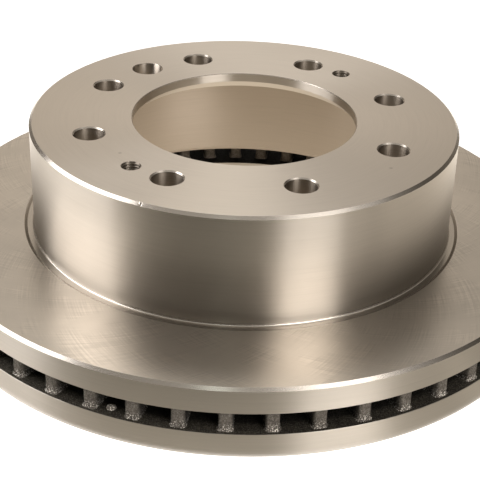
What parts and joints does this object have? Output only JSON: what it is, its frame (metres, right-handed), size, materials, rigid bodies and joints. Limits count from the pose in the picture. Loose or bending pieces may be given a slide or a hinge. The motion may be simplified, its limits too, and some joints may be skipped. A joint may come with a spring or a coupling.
{
  "type": "brake disc",
  "caption": "Thick ventilated brake disc with straight radial vanes and a deep hat that holds a drum surface, stud holes and a central bore.",
  "frame": {"origin": "on the disc's axis, in the plane of the inboard friction face, which the disc rests on", "axes": "+Z along the disc's axis towards the wheel side of the hat, +X and +Y radial; the first wheel stud hole lies 19.6 degrees from +X"},
  "size_m": [0.325, 0.325, 0.0937],
  "materials": {
    "machined_iron": "turned and ground"
  },
  "bodies": {
    "root": {"brake_disc": "machined_iron"}
  },
  "joints": []
}
